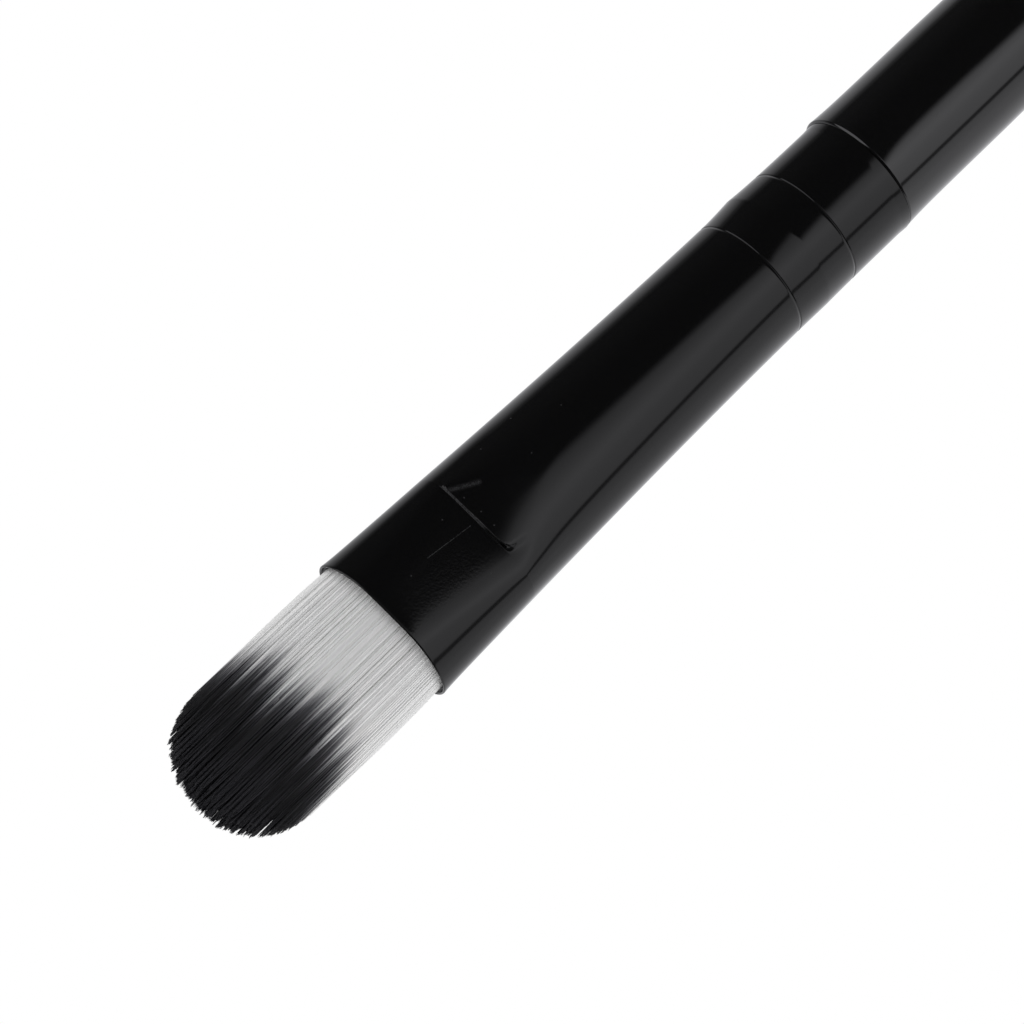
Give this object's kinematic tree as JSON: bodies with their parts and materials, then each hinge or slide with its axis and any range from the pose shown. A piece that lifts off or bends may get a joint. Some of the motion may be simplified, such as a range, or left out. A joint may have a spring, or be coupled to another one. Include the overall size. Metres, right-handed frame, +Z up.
{
  "type": "flat-oval stencil and blending brush",
  "caption": "Slim brush with a domed, dark-tipped tuft of soft filaments in a black ferrule pressed oval at its mouth, on a glossy black tapered wooden handle.",
  "frame": {"origin": "on the table, under the middle of the brush's length and width, as it lies on its handle", "axes": "+X runs along the brush from its tip to its butt, +Y across the width of the tuft, +Z up through the faces of the tuft"},
  "size_m": [0.16, 0.0098, 0.0082],
  "materials": {
    "ferrule_lacquered_metal": "gloss",
    "handle_lacquered_wood": "gloss",
    "filaments": "satin",
    "thread": "matte",
    "resin": "gloss",
    "glue": "satin"
  },
  "bodies": {
    "root": {"ferrule": "ferrule_lacquered_metal", "handle": "handle_lacquered_wood", "tuft": "filaments", "binding_thread": "thread", "root_plug": "resin", "tenon_adhesive": "glue"}
  },
  "joints": []
}
